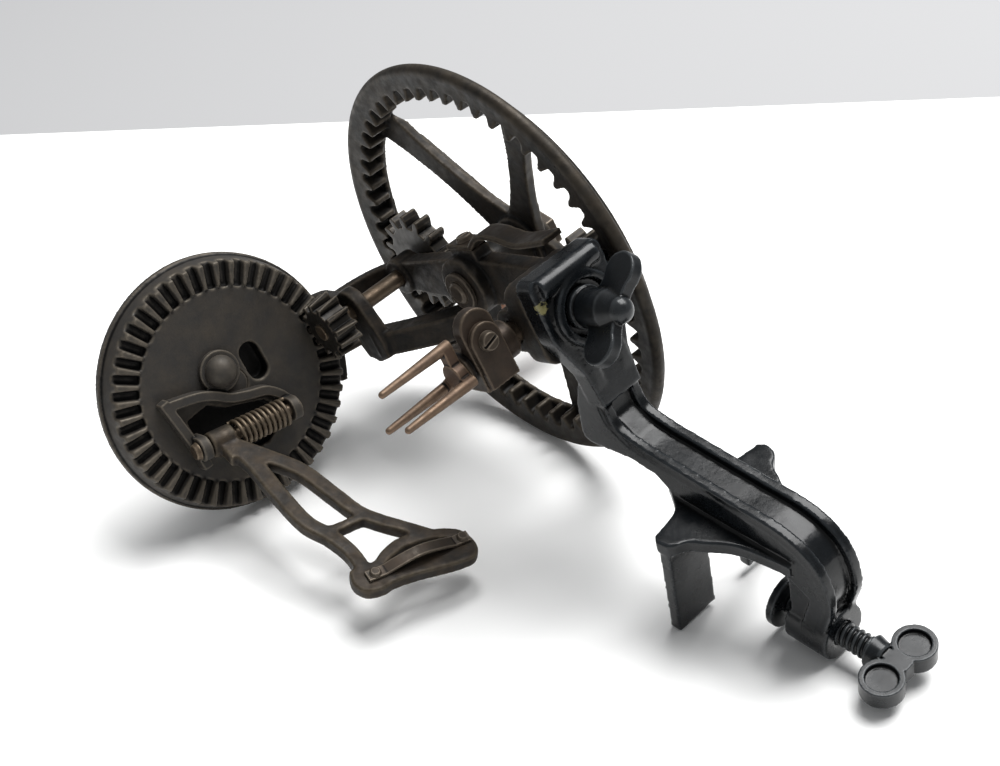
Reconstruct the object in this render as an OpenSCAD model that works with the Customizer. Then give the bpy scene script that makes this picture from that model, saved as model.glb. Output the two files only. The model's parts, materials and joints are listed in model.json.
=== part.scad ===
// Hand-cranked turntable apple peeler with a screw clamp, lying as photographed.
// Machine frame: wheel, rod and fork shafts run along x, the turntable axle along z.
// One rigid placement at the end lays the machine on the floor (z = 0 up).

/* [Gear train] */
// gear module of the ring gear and its two pinions
gear_m = 2.3; // [1.8:0.05:2.6]
// internal teeth of the drive wheel
ring_n = 56; // [48:4:64]
// teeth of the pinion that drives the rod
rod_n = 15; // [13:1:17]
// teeth of the pinion that drives the fork
fork_n = 10; // [9:1:12]
// axial width of the ring teeth
tooth_w = 7; // [5:0.5:9]
// pinion tooth thickness as a share of the pitch
pinion_f = 0.4; // [0.34:0.01:0.43]
// ring tooth space as a share of the pitch
ring_f = 0.595; // [0.56:0.005:0.62]
// pressure angle of the flanks
press_a = 20; // [14.5:0.5:25]

/* [Drive wheel] */
// width of the rim outside the tooth roots
rim_w = 7.8; // [6.5:0.1:10]
// radius of the rim bead
bead_r = 2.4; // [2:0.1:3.2]
// number of spokes
spoke_n = 5; // [4:1:6]
// direction of the first spoke
spoke_a = 144; // [-180:1:180]
// half width of a spoke at its waist
spoke_w = 4.2; // [3:0.1:7]
// crank centre inside the tooth tips
crank_in = 5; // [4:0.5:8]
// direction of the crank on the wheel
crank_a = -50; // [-180:1:180]
// length of the wooden grip
grip_l = 44; // [30:1:60]

/* [Turntable] */
// distance of the turntable axle from the wheel plane
table_x = 84; // [82:0.5:90]
// outside radius of the back flange
table_r = 45.4; // [44:0.1:47]
// crown teeth on the face
crown_n = 45; // [40:1:50]
// teeth of the small crown pinion
crown_pn = 12; // [10:1:13]
// middle radius of the crown teeth
crown_r = 39; // [38:0.1:40]
// outer radius of the crown teeth
crown_ro = 42.6; // [42:0.1:43.5]
// inner radius of the crown teeth
crown_ri = 34.3; // [33:0.1:36]
// length of the small crown pinion
crown_pl = 8.9; // [8:0.1:9.6]

/* [Paring arm] */
// lean of the arm away from the turntable axle
arm_lean = 32; // [26:1:34]
// direction of the hinge pin over the turntable
hinge_a = 168.3; // [160:0.1:175]
// distance of the hinge pin from the turntable axle
hinge_d = 14.5; // [13.5:0.1:15.5]
// thickness of the cast arm
arm_t = 4.6; // [3:0.1:6]
// coils of the arm spring
coil_n = 10; // [6:1:10]
// wire diameter of the arm spring
wire_d = 1.5; // [1:0.1:1.6]
// mean radius of the arm spring
coil_r = 4.4; // [3.6:0.1:4.6]

/* [Fork] */
// distance of the two outer tines from the spindle axis
tine_c = 9.3; // [8:0.1:10]
// length of the tines
tine_l = 22.5; // [16:0.5:26]
// radius of the tines at the root
tine_r = 1.9; // [1.5:0.1:2.4]

/* [Clamp] */
// position of the clamp along the shafts
clamp_x = 22; // [20:0.5:24]
// tilt of the clamp spine from the turntable axle
clamp_tilt = 21.5; // [15:0.5:28]
// half width of the spine
spine_w = 8; // [7:0.1:9]
// half width over the ears
ear_w = 24.5; // [22:0.5:27]
// distance of the screw axis behind the wheel axle, square to the spine
jaw_t = 55; // [53:0.1:58]
// opening between the tabs and the pad
jaw_gap = 21; // [14:0.5:24]

/* [Placement] */
// turns that lay the machine on the floor
lay_rot = [-71.315, 6.678, -137.589];
// shift that puts the middle of the footprint at the origin
lay_pos = [10.44, 41.235, 74.433];

/* [Hidden] */
$fn = 48;
eps = 0.02;
iron = [0.20, 0.18, 0.16];
brown = [0.33, 0.27, 0.21];
japan = [0.07, 0.08, 0.09];
steel = [0.42, 0.38, 0.33];
wood = [0.36, 0.22, 0.12];

// gear sizes
ring_rp = gear_m * ring_n / 2;
ring_ri = ring_rp - 0.83 * gear_m;
ring_ro = ring_rp + 1.1 * gear_m;
rod_rp = gear_m * rod_n / 2;
fork_rp = gear_m * fork_n / 2;
rod_z = -(ring_rp - rod_rp);
fork_z = ring_rp - fork_rp;
pin_x0 = -3.2;
pin_x1 = 3.6;
gear_p = PI * gear_m;
bead_c = ring_ro + rim_w - bead_r;
bead_x = 1.8;
spoke_x0 = -13;
spoke_x1 = -5.7;
crank_r = ring_ri - crank_in;

// shafts
axle_r = 4;
rod_r = 3.1;
spindle_r = 3.6;
run = 0.05;

// frame places along x
frame_x = 5;
hub_x1 = 17.5;
plate_x0 = 32;
plate_x1 = 37;
pad_z = fork_z + 11.1;
pad_x0 = 8;
pad_x1 = 36.5;

// crown gear heights
crown_m = 2 * crown_r / crown_n;
crown_pr = crown_m * crown_pn / 2;
pitch_z = rod_z - crown_pr;
root_z = pitch_z - 1.1 * crown_m;
tip_z = pitch_z + 0.75 * crown_m;
face_z = pitch_z + 0.2;
flange_z = pitch_z - 10.4;
flange_h = 3;
pinion_x0 = table_x - crown_ro - 0.2;
web_z = flange_z + 3;
pocket_z = face_z - 5.5;

// hinge
ring_h = 2.3;
wall_h = 4.8;
wall_w = 1.7;
hinge_z = face_z + 7.4;
rivet_at = [2.5, -7.2];
pin_r = 2;
lug_u0 = -22;
lug_u1 = 13.6;
lug_t = 3.4;
lug_r = 4.2;
lug_foot = 0.6;
hub_u0 = -18.2;
hub_u1 = -9;

// clamp heights along the spine
clamp_s = pad_z - 64;
tab_s = 113.5 + clamp_s;
pad_s = tab_s + jaw_gap;
head_z1 = pad_z + 7.5;
boss_z = head_z1 + 3;
wing_y = -1;

// involute helpers, angles in degrees
function inv(a) = tan(a) - a * PI / 180;
function flank(r, rb) = r > rb ? inv(acos(rb / r)) : 0;
function half_a(r, rp, t) = (t / (2 * rp) + inv(press_a) - flank(r, rp * cos(press_a))) * 180 / PI;
function polar(r, a) = [r * cos(a), r * sin(a)];
// outline of n teeth (or spaces), from radius r0 over the pitch circle to r1
function gear_pts(n, rp, r0, r1, t, a0) = [for (k = [0 : n - 1]) for (q = [0 : 5])
    let (r = [r0, rp, r1, r1, rp, r0][q], s = q < 3 ? -1 : 1)
    polar(r, a0 + 360 * k / n + s * half_a(r, rp, t))];

// smooth path through a few points, and a strip of given half widths along it
function cr(a, b, c, d, t) = 0.5 * (2 * b + (c - a) * t + (2 * a - 5 * b + 4 * c - d) * t * t
    + (3 * b - a - 3 * c + d) * t * t * t);
function pick(p, i) = p[max(0, min(len(p) - 1, i))];
function spl(p, n = 5) = concat([for (i = [0 : len(p) - 2]) for (k = [0 : n - 1])
    cr(pick(p, i - 1), p[i], p[i + 1], pick(p, i + 2), k / n)], [p[len(p) - 1]]);
function norm_at(p, i) = let (d = pick(p, i + 1) - pick(p, i - 1)) [-d[1], d[0]] / norm(d);
function side(p, w) = [for (i = [0 : len(p) - 1]) p[i] + norm_at(p, i) * w];
function flip(p) = [for (i = [len(p) - 1 : -1 : 0]) p[i]];
function band(p, w0, w1) = concat(side(p, w1), flip(side(p, w0)));
function taper(p, w0, w1) = concat(
    [for (i = [0 : len(p) - 1]) p[i] + norm_at(p, i) * (w0 + (w1 - w0) * i / (len(p) - 1))],
    [for (i = [len(p) - 1 : -1 : 0]) p[i] - norm_at(p, i) * (w0 + (w1 - w0) * i / (len(p) - 1))]);
// spine coordinates (along, square) to machine (y, z)
function yz(s, t) = [(s + clamp_s) * sin(clamp_tilt) + t * cos(clamp_tilt),
    (s + clamp_s) * cos(clamp_tilt) - t * sin(clamp_tilt)];

// frames: local (x, y, z) to machine (y, z, x); shaft pieces are drawn upright
module along_x(x = 0, y = 0, z = 0) translate([x, y, z]) rotate([90, 0, 90]) children();
// local (x, y, z) to machine (x, z, -y), for outlines seen from above the shafts
module in_xz(y0, y1) translate([0, y1, 0]) rotate([90, 0, 0]) linear_extrude(y1 - y0) children();
// local x along the spine, y square to it towards the table, z across
module in_clamp() translate([clamp_x, 0, 0]) rotate([-90, clamp_tilt - 90, 90])
    translate([clamp_s, 0, 0]) children();
// local x along the hinge pin
module at_hinge(lean) translate([table_x, 0, hinge_z]) rotate([0, 0, hinge_a]) translate([0, -hinge_d, 0])
    rotate([lean, 0, 0]) children();
module tube(r, r_in, h) difference() {
    cylinder(r = r, h = h);
    translate([0, 0, -1]) cylinder(r = r_in, h = h + 2);
}
module capsule(a, b, r) {
    d = b - a;
    translate(a) circle(r);
    translate(b) circle(r);
    translate(a) rotate(atan2(d[1], d[0])) translate([0, -r]) square([norm(d), 2 * r]);
}

// FRAME
module bearing_plate_outline() {
    capsule([0, rod_z], [12, rod_z + 3.5], 8.2);
    polygon([[2, rod_z - 8], [13, rod_z - 6.8], [19.5, rod_z - 4], [21, rod_z + 3],
        [18.5, rod_z + 11], [8, rod_z + 11.2], [-2, rod_z + 8]]);
}
module pad_outline() {
    capsule([pad_x0 + 5, -9.5], [pad_x1 - 5, -9.5], 5);
    capsule([pad_x0 + 6, 8], [pad_x1 - 5, 8], 5);
    translate([pad_x0, -9.5]) square([pad_x1 - pad_x0, 17.5]);
}
module frame_cross() along_x(frame_x + 1) linear_extrude(7) {
    polygon(taper([[0, 0], [0, rod_z / 2], [0, rod_z]], 9, 5.5));
    polygon(taper([[0, 0], [0, fork_z / 2], [0, fork_z]], 9, 6.5));
}
module frame_bosses() {
    along_x(frame_x) cylinder(r = 11, h = hub_x1 - frame_x);
    along_x(frame_x, 0, rod_z) cylinder(r = 7, h = 9);
    along_x(frame_x, 0, fork_z) cylinder(r = 7.6, h = plate_x1 - frame_x - 0.5);
}
module frame_beam() {
    in_xz(9.5, 18.5) polygon(taper(spl([[8, -6], [18, -15], [26, -28], [33.5, rod_z + 4]]), 5.2, 4.4));
    along_x(frame_x + 1) linear_extrude(7) polygon(taper(spl([[0, -4], [9, -7], [18.5, -9]]), 9, 5));
}
module frame_brace() in_xz(-4, 2.5)
    polygon(taper(spl([[8, rod_z - 3], [14, rod_z - 11], [23, rod_z - 15.5], [34, rod_z - 17]]), 2.6, 2.2));
module frame_table_arm() {
    x_mid = (plate_x0 + plate_x1) / 2;
    low = flange_z - 5;
    in_xz(-5.5, 5.5) polygon(taper(spl([[x_mid, rod_z - 2], [x_mid, rod_z - 16], [x_mid + 1, low + 3],
        [x_mid + 12, low], [table_x, low]]), 2.5, 2.4));
    translate([table_x, 0, flange_z - 10]) cylinder(r = 9, h = 9.7);
    translate([0, 0, flange_z - 7.4]) linear_extrude(4)
        polygon(taper(spl([[x_mid + 10, 0], [x_mid + 4, 8], [x_mid + 3.5, 18], [x_mid + 7, 29]]), 5, 1.5));
}
module main_frame() color(iron) difference() {
    union() {
        frame_cross();
        frame_bosses();
        frame_beam();
        frame_brace();
        frame_table_arm();
        along_x(plate_x0) linear_extrude(plate_x1 - plate_x0) bearing_plate_outline();
        translate([0, 0, pad_z - 9]) linear_extrude(9) pad_outline();
        translate([frame_x + 1, -12.6, -5]) cube([7, 12, 14]);
    }
    along_x(frame_x - 1) cylinder(r = axle_r + run, h = 40);
    along_x(frame_x - 1, 0, rod_z) cylinder(r = rod_r + run, h = 40);
    along_x(frame_x - 1, 0, fork_z) cylinder(r = spindle_r + run, h = 40);
    translate([clamp_x, wing_y, pad_z - 6]) cylinder(r = 3.5, h = 10);
    translate([table_x, 0, flange_z - 20]) cylinder(r = axle_r, h = 30);
    translate([frame_x + 4.5, -20, 2]) rotate([-90, 0, 0]) cylinder(r = 1.6, h = 18);
}
// thin curved strap over the cross arm, outline in machine (y, z)
module top_strap() color(brown) difference() {
    along_x(frame_x + 0.5) linear_extrude(8) polygon(band(concat([[-13.6, -5]],
        spl([[-13.6, 8.6], [-17.4, 15], [-17.6, 24], [-15.2, 34], [-15.8, 43], [-17, 52]])), -1, 1));
    translate([frame_x + 4.5, -30, 2]) rotate([-90, 0, 0]) cylinder(r = 1.7, h = 25);
}
module strap_screw() color(steel) translate([frame_x + 4.5, -14.6, 2]) rotate([-90, 0, 0]) {
    translate([0, 0, -1.8]) difference() {
        cylinder(r1 = 2.6, r2 = 3.2, h = 1.8);
        translate([-4, -0.4, -1]) cube([8, 0.8, 1.7]);
    }
    cylinder(r = 1.6, h = 10);
}

// DRIVE WHEEL
module spoke() linear_extrude(3.6, center = true) polygon(concat(
    [for (i = [0 : 10]) [(ring_ro - 7.6) * i / 10, spoke_w + 3.4 * pow((i - 5.5) / 5, 2)]],
    [for (i = [10 : -1 : 0]) [(ring_ro - 7.6) * i / 10, -spoke_w - 3.4 * pow((i - 5.5) / 5, 2)]]));
module spokes() for (k = [0 : spoke_n - 1]) rotate(spoke_a + k * 360 / spoke_n) translate([6, 0, spoke_x0])
    rotate([0, -atan((spoke_x1 - spoke_x0) / (ring_ro - 7.6)), 0]) {
        spoke();
        translate([3, -1.4, -4.4]) cube([ring_ro - 14, 2.8, 3]);
    }
module rim() {
    translate([0, 0, bead_x]) rotate_extrude($fn = 96) translate([bead_c, 0]) circle(bead_r, $fn = 24);
    rotate_extrude($fn = 96) polygon([[ring_ro + 0.6, -tooth_w / 2], [ring_ro + 1.2, -tooth_w / 2],
        [bead_c + 0.8, bead_x - bead_r + 0.2], [bead_c, bead_x + bead_r - 0.1],
        [ring_ro + 0.6, tooth_w / 2]]);
    translate([0, 0, -tooth_w / 2]) difference() {
        cylinder(r = ring_ro + 1, h = tooth_w, $fn = 96);
        translate([0, 0, -1]) linear_extrude(tooth_w + 2)
            polygon(gear_pts(ring_n, ring_rp, ring_ri, ring_ro, ring_f * gear_p, 90));
    }
    translate([0, 0, -tooth_w / 2 - 2]) tube(ring_ro - 0.3, ring_ri + 1.1, 2 + eps, $fn = 96);
}
module drive_wheel() color(iron) along_x() difference() {
    union() {
        rim();
        intersection() {
            spokes();
            translate([0, 0, -20]) cylinder(r1 = ring_ro - 28.4, r2 = ring_ro - 0.3, h = 16.2);
        }
        translate([0, 0, -17]) cylinder(r = 11.5, h = 8);
        translate([0, 0, -16]) cylinder(r = 8.5, h = 20.7);
        rotate(crank_a) translate([0, 0, -9]) linear_extrude(9 - tooth_w / 2 - 0.4)
            capsule([crank_r, 0], [ring_ri - 1.4, 0], 5.6);
    }
    translate([0, 0, -30]) cylinder(r = axle_r, h = 50);
    rotate(crank_a) translate([crank_r, 0, -20]) cylinder(r = 2.5, h = 30);
}
module wheel_axle() color(steel) along_x(-23) {
    cylinder(r = axle_r, h = hub_x1 + 25.4);
    translate([0, 0, hub_x1 + 25.4]) cylinder(r1 = axle_r, r2 = axle_r - 0.8, h = 0.8);
}
module axle_washer() color(brown) along_x(hub_x1 + 0.3) tube(7, axle_r, 1.6);
module axle_nut() color(brown) along_x(-22) difference() {
    cylinder(r = 8, h = 5, $fn = 6);
    translate([0, 0, -1]) cylinder(r = axle_r, h = 7);
}
module crank_axis() along_x() rotate(crank_a) translate([crank_r, 0, 0]) children();
module crank_stud() color(steel) crank_axis() {
    translate([0, 0, -9 - grip_l - 3]) cylinder(r = 2.5, h = grip_l + 8);
    translate([0, 0, -9 - grip_l - 3]) sphere(3.4);
}
module crank_washer() color(brown) crank_axis() translate([0, 0, -9 - grip_l - 1.4]) tube(5.5, 2.5, 1.2);
// turned grip: a swelling profile, revolved round the stud
module crank_grip() color(wood) crank_axis() translate([0, 0, -9.3]) mirror([0, 0, 1])
    rotate_extrude() polygon(concat([[2.5 + run, 0]],
        [for (i = [0 : 14]) [6.4 + 3 * sin(12 + 160 * i / 14) - (i > 12 ? 1 : 0), (grip_l - 0.6) * i / 14]],
        [[2.5 + run, grip_l - 0.6]]));

// ROD TO THE TURNTABLE
module drive_rod() color(steel) along_x(pin_x0 - 1, 0, rod_z)
    cylinder(r = rod_r, h = pinion_x0 + crown_pl - pin_x0 + 1.6);
module rod_pinion() color(iron) along_x(0, 0, rod_z) difference() {
    translate([0, 0, pin_x0]) linear_extrude(pin_x1 - pin_x0)
        polygon(gear_pts(rod_n, rod_rp, rod_rp - 1.1 * gear_m, rod_rp + 0.8 * gear_m,
            pinion_f * gear_p, -90));
    translate([0, 0, -20]) cylinder(r = rod_r, h = 40);
}
module crown_pinion() color(iron) along_x(pinion_x0, 0, rod_z) difference() {
    intersection() {
        linear_extrude(crown_pl) polygon(gear_pts(crown_pn, crown_pr, crown_pr - 1.1 * crown_m,
            crown_pr + crown_m, 0.36 * PI * crown_m, -90));
        cylinder(r1 = crown_pr + 0.82 * crown_m, r2 = crown_pr + 0.2 * crown_m, h = crown_pl);
    }
    translate([0, 0, -1]) cylinder(r = rod_r, h = crown_pl + 2);
}

// TURNTABLE
module crown_gap() along_x(crown_ri - 0.4) linear_extrude(crown_ro - crown_ri + 3)
    polygon([[-1.35, root_z], [1.35, root_z], [1.95, tip_z + 1], [-1.95, tip_z + 1]]);
// turned section: flat back with a shallow hollow, flange, sloped toothed wall, face and bore
function table_section() = [[axle_r + run, flange_z], [12, flange_z], [12, web_z], [crown_ri, web_z],
    [crown_ri, flange_z], [table_r, flange_z], [table_r, flange_z + flange_h],
    [table_r - 1, flange_z + flange_h], [crown_ro, tip_z], [crown_ri, tip_z], [crown_ri, face_z],
    [5.5, face_z], [5.5, face_z - 2], [axle_r + run, face_z - 2]];
module turntable() color(iron) translate([table_x, 0, 0]) difference() {
    rotate_extrude($fn = 96) polygon(table_section());
    for (k = [0 : crown_n - 1]) rotate(180 + 360 * k / crown_n) crown_gap();
    translate([rivet_at[0], rivet_at[1], face_z - 6]) cylinder(r = 1.6, h = 10);
    translate([0, 0, pocket_z]) linear_extrude(20) {
        capsule([-10.7, -6], [-10.7, 0.6], 3.8);
        hinge_pocket();
    }
}
// recess in the face below the hinge and its spring
module hinge_pocket() polygon([[21, 1.5], [12, 0.8], [6.5, 5.5], [-1, 8.6], [-7, 11.2], [-9.4, 15],
    [-8.5, 21.5], [-1, 25], [9, 23.5], [17, 18.5], [21.2, 10]]);
module turntable_pivot() color(steel) translate([table_x, 0, 0]) {
    translate([0, 0, face_z - 1.7]) cylinder(r = 5.4, h = 1.6);
    translate([0, 0, flange_z - 11]) cylinder(r = axle_r, h = face_z - flange_z + 10);
    translate([0, 0, flange_z - 12.5]) cylinder(r1 = 4.6, r2 = 6.4, h = 2.5);
}
module bracket_rivet() color(brown) translate([table_x + rivet_at[0], rivet_at[1], face_z + ring_h]) {
    intersection() {
        sphere(5.8);
        cylinder(r = 8, h = 12);
    }
    translate([0, 0, -ring_h - 6]) cylinder(r = 1.6, h = ring_h + 7);
}
module hinge_lug(u) translate([u, 0, 0]) rotate([90, 0, 90]) linear_extrude(lug_t) {
    circle(lug_r);
    translate([-lug_r, face_z - hinge_z + lug_foot]) square([2 * lug_r, hinge_z - face_z - lug_foot]);
}
// stirrup held by the domed rivet, with two lugs for the hinge pin
module arm_bracket() color(iron) difference() {
    union() {
        translate([table_x, 0, face_z]) linear_extrude(ring_h) translate(rivet_at) circle(7.4);
        translate([table_x, 0, face_z]) linear_extrude(wall_h) {
            polygon(taper(spl([[26.6, -8.4], [15, -5], [9, -1.6], [4.5, 2.2], [-2, 5.2], [-8, 7.6],
                [-12.4, 13], [-13, 19.5]]), wall_w, wall_w));
            polygon(taper(spl([[25.8, -10], [24.4, 4], [23.8, 11], [23.8, 18]]), wall_w, wall_w));
        }
        at_hinge(0) hinge_lug(lug_u0);
        at_hinge(0) hinge_lug(lug_u1);
    }
    translate([table_x + rivet_at[0], rivet_at[1], face_z - 1]) cylinder(r = 1.6, h = 9);
    at_hinge(0) rotate([0, 90, 0]) translate([0, 0, -40]) cylinder(r = pin_r, h = 80);
}
module hinge_pin() color(steel) at_hinge(0) rotate([0, 90, 0]) {
    translate([0, 0, lug_u0 - 1]) cylinder(r = pin_r, h = lug_u1 + lug_t - lug_u0 + 2);
    translate([0, 0, lug_u0 - 2.2]) cylinder(r1 = 2.6, r2 = 3.2, h = 1.9);
}
// close-wound spring round the hinge pin: one tube, 8 rings to a coil, 6 sides to a ring
coil_u0 = hub_u1 + 0.1;
coil_u1 = lug_u1;
coil_len = coil_u1 - coil_u0 - 2 * wire_d;
ring_count = 8 * coil_n + 1;
coil_pitch = coil_len / coil_n;
function coil_p(i) = [coil_u0 + wire_d + coil_len * i / (ring_count - 1),
    coil_r * cos(45 * i), coil_r * sin(45 * i)];
coil_path = concat([coil_p(0) - [wire_d, 0, 0]], [for (i = [0 : ring_count - 1]) coil_p(i)],
    [coil_p(ring_count - 1) + [wire_d, 0, 0]]);
function unit(v) = v / norm(v);
function coil_dir(i) = i == 0 || i == len(coil_path) - 1 ? [1, 0, 0]
    : unit(unit(coil_path[i + 1] - coil_path[i]) + unit(coil_path[i] - coil_path[i - 1]));
function coil_out(i) = let (p = coil_path[i]) unit([0, p[1], p[2]]);
coil_pts = [for (i = [0 : len(coil_path) - 1]) for (k = [0 : 5])
    let (d = coil_dir(i), o = unit(coil_out(i) - d * (coil_out(i) * d)), b = cross(d, o))
    coil_path[i] + wire_d / 2 * (o * cos(60 * k) + b * sin(60 * k))];
coil_faces = concat([[for (k = [5 : -1 : 0]) k]],
    [for (i = [0 : len(coil_path) - 2]) for (k = [0 : 5])
        [6 * i + k, 6 * i + (k + 1) % 6, 6 * i + 6 + (k + 1) % 6, 6 * i + 6 + k]],
    [[for (k = [0 : 5]) 6 * (len(coil_path) - 1) + k]]);
coil_gap = min([for (i = [0 : ring_count - 9]) norm(coil_p(i + 8) - coil_p(i))]) - wire_d;
echo(least_gap_between_coils = coil_gap);
module arm_spring() color(steel) at_hinge(0) polyhedron(coil_pts, coil_faces, convexity = 6);

// PARING ARM, drawn in the plane of the hinge pin (x) and the arm (y)
near_leg = spl([[-12.4, 4], [-10.8, 16], [-11.2, 33], [-10.8, 48], [-7.6, 57], [-6, 67], [-7, 76]]);
far_leg = spl([[-11.4, 6], [-5, 17], [0.6, 28], [3.5, 43], [5.6, 53.7], [9.4, 61], [14, 67.6],
    [18.9, 74.6]]);
blade_at = [-5.5, 79.4];
blade_a = 6.7;
blade_l = 31.7;
blade_w = 2.1;
blade_t = 1;
bow = 2.6;
screw_uv = [blade_at, blade_at + blade_l * [cos(blade_a), sin(blade_a)]];
head_rim = spl([[-11.2, 73], [-13.2, 78], [-11.6, 83], [-6.5, 85.2], [-1.5, 85], [6.2, 86.6], [14.8, 89.2],
    [22, 90.9], [26, 90.8], [28.6, 88.2], [29.4, 84], [28.6, 79.8], [26, 76.8], [21.5, 74], [15, 71.6],
    [8.5, 70.6], [2, 72], [-2.5, 74.2], [-5.4, 73.4]], 4);
head_window = [[-1.5, 78.4], [2.5, 76.4], [8.6, 75.2], [14.4, 76.1], [19, 77.6], [22.2, 79.6], [22.6, 81.6],
    [21, 83], [16.9, 81.8], [11, 80.2], [5.6, 79.4], [0.8, 80.2]];
module knife_head() difference() {
    polygon(head_rim);
    polygon(head_window);
}
module paring_arm() color(brown) difference() {
    union() {
        at_hinge(90 + arm_lean) {
            translate([0, 0, -arm_t / 2]) linear_extrude(arm_t) {
                polygon(taper(near_leg, 3.2, 2.5));
                polygon(taper(far_leg, 3.2, 2.3));
                polygon(taper([[-9, 55], [-2, 56], [7, 56.4]], 1.7, 1.7));
                translate([hub_u0 + 2, 0]) square([6.6, 11]);
                knife_head();
            }
        }
        at_hinge(0) rotate([0, 90, 0]) translate([0, 0, hub_u0]) cylinder(r = 4.6, h = hub_u1 - hub_u0);
    }
    at_hinge(0) rotate([0, 90, 0]) translate([0, 0, -40]) cylinder(r = pin_r + run, h = 80);
    at_hinge(90 + arm_lean) for (p = screw_uv)
        translate([p[0], p[1], -10]) cylinder(r = 1.3, h = 20);
}
// thin blade with flat ends on the head, bowed out over the window
blade_path = concat([[-3, 0]], spl([[3.4, 0], [blade_l * 0.3, -0.65 * bow], [blade_l / 2, -bow],
    [blade_l * 0.7, -0.65 * bow], [blade_l - 3.4, 0]]), [[blade_l + 2.4, 0]]);
module knife_blade() color(steel) at_hinge(90 + arm_lean) difference() {
    translate([blade_at[0], blade_at[1], -arm_t / 2 - blade_t / 2]) rotate(blade_a) translate([0, blade_w, 0])
        rotate([90, 0, 0]) linear_extrude(2 * blade_w) polygon(band(blade_path, -blade_t / 2, blade_t / 2));
    for (p = screw_uv) translate([p[0], p[1], -10]) cylinder(r = 1.3, h = 20);
}
module blade_screws() color(brown) at_hinge(90 + arm_lean) for (p = screw_uv)
    translate([p[0], p[1], -arm_t / 2 - blade_t]) {
        cylinder(r = 1.3, h = arm_t);
        translate([0, 0, -1.1]) cylinder(r1 = 1.5, r2 = 2.1, h = 1.1);
    }

// FORK
module fork_spindle() color(steel) along_x(pin_x0 - 0.8, 0, fork_z) cylinder(r = spindle_r, h = 54);
module fork_pinion() color(iron) along_x(0, 0, fork_z) difference() {
    translate([0, 0, pin_x0]) linear_extrude(pin_x1 - pin_x0)
        polygon(gear_pts(fork_n, fork_rp, fork_rp - 1.1 * gear_m, fork_rp + 0.8 * gear_m,
            pinion_f * gear_p, 90));
    translate([0, 0, -20]) cylinder(r = spindle_r, h = 40);
}
// rounded lug that stands up beside the spindle, with a screwed cover plate
fork_x = 50;
lug_z = fork_z + 1.6;
plate_z = fork_z + 6;
module fork_head() color(brown) difference() {
    union() {
        along_x(39.2, 0, fork_z) cylinder(r = 6.2, h = 6);
        translate([fork_x - 6, -6, fork_z - 5.6]) cube([12, 14.5, 11.6]);
        translate([0, 0, lug_z]) linear_extrude(plate_z - lug_z) capsule([fork_x, -10.6], [fork_x, 0], 6);
        along_x(fork_x + 5, 0, fork_z) cylinder(r = 4.6, h = 3);
    }
    along_x(30, 0, fork_z) cylinder(r = spindle_r, h = 20);
    along_x(fork_x + 1, 0, fork_z) cylinder(r = 2.6, h = 10);
    translate([fork_x, -6.4, lug_z - 4]) cylinder(r = 1.7, h = 20);
}
module fork_plate() color(brown) translate([0, 0, plate_z]) linear_extrude(2) difference() {
    union() {
        translate([fork_x, -6.8]) circle(5.4);
        translate([fork_x - 5.4, -6.8]) square([10.8, 14.6]);
    }
    translate([fork_x, -6.4]) circle(1.7);
}
module fork_screw() color(steel) translate([fork_x, -6.4, plate_z + 2]) difference() {
    union() {
        translate([0, 0, -8]) cylinder(r = 1.7, h = 9);
        cylinder(r1 = 3.2, r2 = 2.7, h = 2.2);
    }
    rotate(15) translate([-5, -0.45, 1.3]) cube([10, 0.9, 3]);
}
tines = [[tine_c + 0.2, 178], [tine_c - 0.3, -61], [0.58 * tine_c, 66]];
module apple_fork() color(brown) along_x(0, 0, fork_z) {
    translate([0, 0, fork_x + 1]) cylinder(r = 2.6, h = 8);
    translate([0, 0, fork_x + 8 - eps]) cylinder(r = 4.4, h = 3.8);
    for (t = tines) rotate(t[1]) {
        translate([0, -1.9, fork_x + 8]) cube([t[0], 3.8, 3.6]);
        translate([t[0], 0, fork_x + 8]) cylinder(r = tine_r, h = 3.6);
        translate([t[0], 0, fork_x + 11.5]) cylinder(r1 = tine_r, r2 = tine_r * 0.6, h = tine_l);
        translate([t[0], 0, fork_x + 11.5 + tine_l]) sphere(tine_r * 0.6, $fn = 24);
    }
}

// CLAMP
spine = spl([[6, pad_z + 3.7], [20, pad_z + 3.4], [32, pad_z + 1.4], [41, pad_z + 3], yz(88, 16.4),
    yz(104, 17.4), yz(124, 18.4), yz(141, 19.4), yz(150.5, 25), yz(153.8, 36), yz(151.6, 46),
    yz(149.6, 54)], 6);
module head_outline() {
    w = pad_x1 - clamp_x;
    capsule([clamp_x - w + 3, -14], [clamp_x + w - 3, -14], 3);
    polygon([[clamp_x - w, -14], [clamp_x + w, -14], [clamp_x + w, 3], [clamp_x + spine_w + 1, 18],
        [clamp_x + spine_w, 30], [clamp_x - spine_w, 30], [clamp_x - spine_w - 1, 18], [clamp_x - w, 3]]);
}
// plan of the saddle: x along the spine, y across
module saddle_half() polygon(concat(
    spl([[96, 5], [101, 8.4], [105.5, 12.4], [107, 19], [107.5, ear_w - 1.2]]),
    spl([[109.5, ear_w + 0.6], [114, ear_w - 0.6], [117, ear_w - 5], [121, 17], [130, 12], [146, 9.6]]),
    [[146, 5]]));
module clamp_spine() {
    along_x(clamp_x - spine_w) linear_extrude(2 * spine_w) polygon(band(spine, -3, 2));
    for (x = [-spine_w + 0.4, spine_w - 3.8]) along_x(clamp_x + x) linear_extrude(3.4)
        polygon(band(spine, -3, 4.6));
    along_x(clamp_x - spine_w) linear_extrude(2 * spine_w)
        polygon([[18, pad_z + 1], [29, pad_z - 6.5], [40.5, pad_z - 11.6], [43.6, pad_z - 11.8],
            [45.6, pad_z - 9.4], [48, pad_z + 3], yz(92, 18), [36, pad_z + 3]]);
}
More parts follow.
